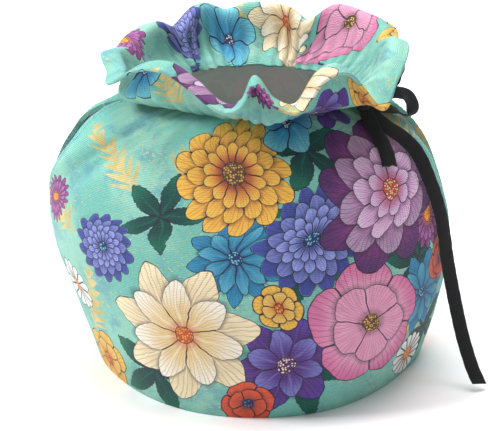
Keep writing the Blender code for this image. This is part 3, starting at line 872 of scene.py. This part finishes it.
def printed_cloth():
    """Ribbed polyester printed on the right side, and white with a ghost of the print on the wrong."""
    made, shader, start = new_finish("printed_cloth")
    flat = start.attribute("flat_place")
    across, up, wrong = flat.numbers()
    drift = start.speckle(flat, 0.11, 2.0, 0.5, 1)
    drift_across, drift_up, _ = drift.numbers()
    drawn_across = across + (drift_across - 0.5) * INK_DRIFT
    drawn_up = up + (drift_up - 0.5) * INK_DRIFT
    streaks = start.speckle(flat, 0.2, 2.0)
    colour = draw_ground(start, flat, across, up)
    for layer in reversed(FLOWER_LAYERS):
        colour = draw_flower(start, layer, colour, drawn_across, drawn_up, streaks)
    colour = start.mix(wrong * WHITENESS, colour, WRONG_SIDE)
    rib = start.maths("SINE", up * (math.tau / RIB_PITCH))
    thread = start.maths("SINE", across * (math.tau / THREAD_PITCH) + up * (math.pi / RIB_PITCH))
    slub = start.speckle(start.vector(across * 0.3, up * 3), 1.0, 2.0)
    weave = rib * 0.5 + thread * 0.22 + slub * 0.6
    # Painted shade: the colour darkens in the grooves between the ribs, more where the slub noise is
    # high.
    colour = start.mix((rib * -0.2 + 0.2) * slub, colour, RIB_GROOVE_PAINTED_SHADE)
    colour.feed(shader, "Base Color")
    rough = 0.60 + slub * 0.14 - rib * 0.03
    rough.feed(shader, "Roughness")
    shader.inputs["Specular IOR Level"].default_value = 0.32
    shader.inputs["Sheen Weight"].default_value = 0.08
    shader.inputs["Sheen Roughness"].default_value = 0.45
    normal = start.node("ShaderNodeBump", (), {"Strength": 0.8, "Distance": RELIEF, "Height": weave})
    normal.feed(shader, "Normal")
    return made


cloth_finish = printed_cloth()
for made, node in ((front, "front_panel"), (back, "back_panel")):
    made.data.materials.append(cloth_finish)
    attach(made, "root")
    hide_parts(node)


# A row of lockstitches in aqua thread holds down the hem on each side of each slit.
STITCH_PITCH = 0.0031
STITCH_LENGTH = 0.0024
THREAD_WIDTH = 0.0006
STITCH_INSET = 0.0040


def hem_rows(side_centre):
    """The stitched lines on one panel: one list of points for each side of it that has a slit."""
    points, normals, _, _ = worked_grid(side_centre)
    _, sewn = cloth_grid(side_centre)
    surface = points + normals * (BODY_CLOTH / 2 + SLIT_HEM_SWELL + THREAD_WIDTH / 4)
    lines = []
    for edge, step in ((0, 1), (1, -1)):
        from_edge = surface[:, ::step]
        lengths = lengths_along(from_edge, 1)
        line = [
            [np.interp(STITCH_INSET, lengths[k], from_edge[k, :, axis]) for axis in range(3)]
            for k in range(BODY_ROWS)
            if not sewn[k, edge]
        ]
        lines.append(np.array(line) + np.array(AXIS))
    return lines


def stitch_nodes(thread):
    """Lays one stitch after another along curves."""
    tree = bpy.data.node_groups.new("row_of_stitches", "GeometryNodeTree")
    tree.interface.new_socket("Line", in_out="INPUT", socket_type="NodeSocketGeometry")
    for name in ("Pitch", "Length", "Thread width"):
        tree.interface.new_socket(name, in_out="INPUT", socket_type="NodeSocketFloat")
    tree.interface.new_socket("Stitches", in_out="OUTPUT", socket_type="NodeSocketGeometry")
    start = Strand(tree)
    given = start.node("NodeGroupInput").socket.node.outputs
    line, pitch, length, width = (Strand(tree, given[place]) for place in range(4))
    sockets = {"Curve": line, "Length": pitch}
    along = start.node("GeometryNodeCurveToPoints", {"mode": "LENGTH"}, sockets)
    stitch = start.node("GeometryNodeMeshUVSphere", (), {"Segments": 8, "Rings": 6, "Radius": 0.5})
    stitch = start.node("GeometryNodeSetShadeSmooth", (), {"Geometry": stitch})
    size = start.vector(width, width, length)
    turn = Strand(tree, along.socket.node.outputs["Rotation"])
    sockets = {"Points": along, "Instance": stitch, "Rotation": turn, "Scale": size}
    row = start.node("GeometryNodeInstanceOnPoints", (), sockets)
    row = start.node("GeometryNodeRealizeInstances", (), {"Geometry": row})
    row = start.node("GeometryNodeSetMaterial", (), {"Geometry": row, "Material": thread})
    start.node("NodeGroupOutput", (), {0: row}, None)
    return tree


def sewing_thread():
    made, shader, start = new_finish("sewing_thread")
    place = start.node("ShaderNodeTexCoord", (), (), "Object")
    twist = start.speckle(place, 2600, 2.0)
    colour = start.mix(twist, as_dye((110, 180, 176)), as_dye((190, 232, 222)))
    colour.feed(shader, "Base Color")
    rough = 0.42 + twist * 0.2
    rough.feed(shader, "Roughness")
    normal = start.node("ShaderNodeBump", (), {"Strength": 0.5, "Distance": 0.0001, "Height": twist})
    normal.feed(shader, "Normal")
    return made


def sew_hems(name, side_centre, tree):
    path = bpy.data.curves.new(name, "CURVE")
    path.dimensions = "3D"
    for line in hem_rows(side_centre):
        run = path.splines.new("POLY")
        run.points.add(len(line) - 1)
        run.points.foreach_set("co", np.c_[line, np.ones(len(line))].reshape(-1))
    guide = put_in_scene(name, path)
    sewing = guide.modifiers.new("stitches", "NODES")
    sewing.node_group = tree
    sizes = {"Pitch": STITCH_PITCH, "Length": STITCH_LENGTH, "Thread width": THREAD_WIDTH}
    for item in tree.interface.items_tree:
        if item.name in sizes:
            sewing[item.identifier] = sizes[item.name]
    seen = guide.evaluated_get(bpy.context.evaluated_depsgraph_get())
    mesh = bpy.data.meshes.new_from_object(seen)
    bpy.data.objects.remove(guide)
    stitches = put_in_scene(name, mesh)
    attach(stitches, "root")


stitching = stitch_nodes(sewing_thread())
sew_hems("front_hem_stitches", 0, stitching)
sew_hems("back_hem_stitches", 180, stitching)


# The tie is one length of narrow black woven tape, in a bow at the right of the front. A band of it
# goes round the knot, and two loops and two cut ends leave it. The rest is hidden in the neck.
TAPE_WIDTH = 0.0072
TAPE_THICKNESS = 0.0008
TAPE_COLUMNS = 12
TAPE_ROWS_PER_BEND = 10
TAPE_CURL = 0.00035  # how far the tape's edges curl towards its inner face
TAPE_RIPPLE = 0.00012
RIPPLES = 900  # how fast the ripple turns along the tape, in radians for each metre
EDGE_THINNING = 0.45  # how much thinner the tape is at its edges, as a share of it
CUT_REACH = 0.006  # how much of an end its cut draws back

KNOT_CENTRE = Vector((0.0512, -0.0274, 0.1398))
KNOT_HALF_SIZE = (0.0043, 0.0037, 0.0029)
KNOT_FACING = 61
KNOT_TILT = 20
KNOT_STEPS = 64
KNOT_RINGS = 40

# Each row is a place along the tape, from the neck's axis, and the way its outer face looks there.
Bend = namedtuple("Bend", "x y z facing tilt")
SHORT_TAIL = [Bend(*row) for row in (
    (0.0515, -0.0290, 0.1390, 25, 55), (0.0532, -0.0328, 0.1358, 22, 48),
    (0.0554, -0.0364, 0.1318, 20, 44), (0.0580, -0.0395, 0.1277, 18, 40),
    (0.0603, -0.0424, 0.1241, 16, 38), (0.0620, -0.0458, 0.1200, 14, 36),
    (0.0628, -0.0495, 0.1159, 12, 34),
)]
LONG_TAIL = [Bend(*row) for row in (
    (0.0520, -0.0275, 0.1388, 40, 62), (0.0573, -0.0312, 0.1347, 28, 50),
    (0.0630, -0.0337, 0.1302, 20, 40), (0.0690, -0.0341, 0.1261, 14, 34),
    (0.0745, -0.0342, 0.1208, 14, 28), (0.0786, -0.0350, 0.1148, 18, 22),
    (0.0823, -0.0358, 0.1066, 24, 18), (0.0862, -0.0364, 0.0966, 30, 14),
    (0.0890, -0.0370, 0.0870, 32, 10), (0.0911, -0.0377, 0.0760, 30, 8),
    (0.0925, -0.0380, 0.0660, 27, 5), (0.0948, -0.0385, 0.0535, 25, 3),
    (0.0979, -0.0400, 0.0390, 25, 3), (0.1013, -0.0428, 0.0250, 26, 5),
    (0.1058, -0.0468, 0.0112, 28, 9), (0.1100, -0.0508, 0.0024, 30, 12),
)]
LOWER_LOOP = [Bend(*row) for row in (
    (0.0520, -0.0270, 0.1406, 50, 72), (0.0575, -0.0240, 0.1422, 50, 68),
    (0.0645, -0.0190, 0.1430, 50, 58), (0.0702, -0.0155, 0.1418, 46, 44),
    (0.0740, -0.0135, 0.1388, 38, 24), (0.0757, -0.0125, 0.1348, 32, 6),
    (0.0757, -0.0120, 0.1308, 32, -22), (0.0728, -0.0120, 0.1290, 40, -70),
    (0.0668, -0.0145, 0.1328, -100, -60), (0.0600, -0.0200, 0.1357, -125, -56),
    (0.0530, -0.0260, 0.1380, -124, -68),
)]
UPPER_LOOP = [Bend(*row) for row in (
    (0.0515, -0.0265, 0.1414, 58, 66), (0.0570, -0.0205, 0.1446, 58, 62),
    (0.0638, -0.0130, 0.1482, 62, 50), (0.0688, -0.0065, 0.1505, 66, 28),
    (0.0712, -0.0020, 0.1488, 68, 2), (0.0705, 0.0000, 0.1456, 66, -34),
    (0.0660, -0.0045, 0.1434, -100, -78), (0.0595, -0.0145, 0.1416, -120, -66),
    (0.0530, -0.0245, 0.1392, -124, -68),
)]

# How the two ends are cut: how far each point across the tape falls short, from its left edge.
UNEVEN_CUT = (0.0000, 0.0004, 0.0010, 0.0006, 0.0001, 0.0007, 0.0009, 0.0003)
SLANTED_CUT = (0.0000, 0.0007, 0.0014, 0.0021, 0.0028)
NO_CUT = (0.0, 0.0)


def looks_to(azimuth, tilt):
    a, b = np.radians(azimuth), np.radians(tilt)
    return np.stack([np.sin(a) * np.cos(b), -np.cos(a) * np.cos(b), np.sin(b)], -1)


def unit(vectors):
    return vectors / np.linalg.norm(vectors, axis=-1, keepdims=True)


def round_faces(count, ring):
    """The faces between each of count rings of points and the next."""
    for k in range(count):
        for j in range(ring):
            a, b = k * ring + j, k * ring + (j + 1) % ring
            yield a, b, b + ring, a + ring


def tape_run(bends, cut):
    """One run of tape as a closed mesh: its points, faces, and places along and across it."""
    count = (len(bends) - 1) * TAPE_ROWS_PER_BEND
    t = np.arange(count + 1) / TAPE_ROWS_PER_BEND
    middles = spline([(b.x, b.y, b.z) for b in bends], t) + np.array(AXIS)
    face = unit(spline([looks_to(b.facing, b.tilt) for b in bends], t))
    tangent = unit(np.gradient(middles, axis=0))
    across = unit(np.cross(tangent, face))
    out = np.cross(across, tangent)
    length = np.concatenate([[0], np.cumsum(np.linalg.norm(np.diff(middles, axis=0), axis=1))])
    side = np.linspace(-1, 1, TAPE_COLUMNS + 1)
    short = np.interp(side, np.linspace(-1, 1, len(cut)), cut)
    near_end = soft_step(1 - (length[-1] - length) / CUT_REACH)
    curl = -TAPE_CURL * side**2
    thin = TAPE_THICKNESS / 2 * (1 - EDGE_THINNING * np.abs(side) ** 6)
    loops, places = [], []
    for k in range(count + 1):
        ripple = TAPE_RIPPLE * math.sin(length[k] * RIPPLES) * side
        base = middles[k] + across[k] * (side * TAPE_WIDTH / 2)[:, None]
        base = base + out[k] * (curl + ripple)[:, None]
        base = base - tangent[k] * (short * near_end[k])[:, None]
        upper, lower = base + out[k] * thin[:, None], base - out[k] * thin[:, None]
        loops.append(np.concatenate([upper, lower[::-1]]))
        along = np.full(TAPE_COLUMNS + 1, length[k])
        one = np.stack([along, side * TAPE_WIDTH / 2, np.zeros_like(side)], -1) * 1000
        places.append(np.concatenate([one, one[::-1]]))
    ring = 2 * (TAPE_COLUMNS + 1)
    faces = list(round_faces(count, ring))
    for first, flip in ((0, True), (count * ring, False)):
        for j in range(TAPE_COLUMNS):
            quad = (first + j, first + j + 1, first + ring - 2 - j, first + ring - 1 - j)
            faces.append(quad[::-1] if flip else quad)
    return np.concatenate(loops), faces, np.concatenate(places), length[-1]


def knot_band():
    """The knot: a soft block with the folds of the band that goes round it."""
    out = looks_to(KNOT_FACING, KNOT_TILT)
    left = unit(np.cross((0, 0, 1), out))
    axes = np.array((left, np.cross(out, left), out))
    points, places = [], []
    for i in range(KNOT_RINGS + 1):
        fall = math.pi * i / KNOT_RINGS
        for j in range(KNOT_STEPS):
            turn = math.tau * j / KNOT_STEPS
            wide = math.sin(fall)
            ball = np.array((math.cos(fall), wide * math.cos(turn), wide * math.sin(turn)))
            soft = np.sign(ball) * np.abs(ball) ** 0.7
            fold = abs(math.sin(soft[0] * 4.4 + 0.7 * math.sin(turn + 0.6)))
            crease = 1 + 0.16 * (fold - 0.6) * wide
            points.append((soft * KNOT_HALF_SIZE * crease) @ axes)
            places.append((turn * 4, soft[0] * 3.6, 0))
    points = np.array(points) + np.array(KNOT_CENTRE + AXIS)
    return points, list(round_faces(KNOT_RINGS, KNOT_STEPS)), np.array(places), 0


def tie_bow():
    """All of the bow in one mesh, and how long its tape is."""
    tails = (SHORT_TAIL, UNEVEN_CUT), (LONG_TAIL, SLANTED_CUT)
    loops = (LOWER_LOOP, NO_CUT), (UPPER_LOOP, NO_CUT)
    made = [tape_run(*run) for run in tails + loops]
    made.append(knot_band())
    tape = sum(run[3] for run in made)
    points, faces, places = [], [], []
    before = 0
    for run_points, run_faces, run_places, _ in made:
        points.append(run_points)
        places.append(run_places)
        faces += [tuple(v + before for v in f) for f in run_faces]
        before += len(run_points)
    mesh = bpy.data.meshes.new("ribbon_bow")
    mesh.from_pydata(np.concatenate(points).tolist(), [], faces)
    own = mesh.attributes.new("tape_place", "FLOAT_VECTOR", "POINT")
    own.data.foreach_set("vector", np.concatenate(places).reshape(-1))
    bm = bmesh.new()
    bm.from_mesh(mesh)
    bmesh.ops.remove_doubles(bm, verts=bm.verts, dist=1e-6)
    bmesh.ops.recalc_face_normals(bm, faces=bm.faces)
    bm.to_mesh(mesh)
    bm.free()
    mesh.shade_smooth()
    mesh.set_sharp_from_angle(angle=math.radians(50))
    return put_in_scene("ribbon_bow", mesh), tape


TAPE_BLACK, TAPE_GREY = as_dye((13, 13, 15)), as_dye((30, 30, 34))
TAPE_RIB_PITCH = 0.55  # in millimetres, as the warp's
WARP_PITCH = 0.42


def woven_tape():
    """Black polyester tape: fine cross ribs, a smooth firm edge, and a little dust-grey in its fuzz
    and along its edges.
    """
    made, shader, start = new_finish("black_tape")
    along, across, _ = start.attribute("tape_place").numbers()
    rib = start.maths("SINE", along * (math.tau / TAPE_RIB_PITCH))
    warp = start.maths("SINE", across * (math.tau / WARP_PITCH))
    fuzz = start.speckle(start.vector(along * 0.9, across * 3), 1.0, 3.0)
    selvedge = abs(across).rise(2.9, 3.3)
    colour = start.mix(fuzz.rise(0.3, 0.75) * 0.6 + rib * 0.08, TAPE_BLACK, TAPE_GREY)
    colour = start.mix(selvedge * 0.35, colour, TAPE_GREY)
    colour.feed(shader, "Base Color")
    rough = 0.62 + fuzz * 0.16 - selvedge * 0.08
    rough.feed(shader, "Roughness")
    shader.inputs["Specular IOR Level"].default_value = 0.26
    shader.inputs["Sheen Weight"].default_value = 0.12
    shader.inputs["Sheen Roughness"].default_value = 0.4
    weave = rib * 0.5 + warp * (1 - selvedge) * 0.3 + fuzz * 0.5
    normal = start.node("ShaderNodeBump", (), {"Strength": 0.6, "Distance": 0.0001, "Height": weave})
    normal.feed(shader, "Normal")
    return made


bow, tape_length = tie_bow()
bow.data.materials.append(woven_tape())
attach(bow, "root")
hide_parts("ribbon")


# The floor is a plain pale sheet, and the light is a white room with two large soft lamps.
FLOOR_HALF = 9.0
FLOOR_SHADE = 0.94
ROOM_LIGHT = 0.42
floor_mesh = bpy.data.meshes.new("floor")
corners = [(x * FLOOR_HALF, y * FLOOR_HALF, 0) for x, y in ((-1, -1), (1, -1), (1, 1), (-1, 1))]
floor_mesh.from_pydata(corners, [], [(0, 1, 2, 3)])
floor = put_in_scene("floor", floor_mesh)
floor_finish, floor_shader, floor_start = new_finish("pale_floor")
floor_shader.inputs["Base Color"].default_value = (FLOOR_SHADE, FLOOR_SHADE, FLOOR_SHADE, 1)
floor_shader.inputs["Roughness"].default_value = 0.8
floor_mesh.materials.append(floor_finish)

room = bpy.data.worlds.new("room")
room.use_nodes = True
walls = room.node_tree.nodes["Background"].inputs
walls["Color"].default_value = (1, 1, 1, 1)
walls["Strength"].default_value = ROOM_LIGHT
bpy.context.scene.world = room

# Each lamp: where it hangs, how wide it is and how many watts it gives.
Lamp = namedtuple("Lamp", "place width watts")
LAMPS = {
    "lamp_left": Lamp((-1.0, -0.2, 1.1), 0.4, 18),
    "lamp_above": Lamp((0.1, 0.5, 1.6), 1.2, 34),
}
for name, lamp in LAMPS.items():
    light = bpy.data.lights.new(name, "AREA")
    light.size = lamp.width
    light.energy = lamp.watts
    hung = put_in_scene(name, light)
    hung.location = lamp.place
    hung.rotation_euler = (VIEW_MIDDLE - hung.location).to_track_quat("-Z", "Y").to_euler()
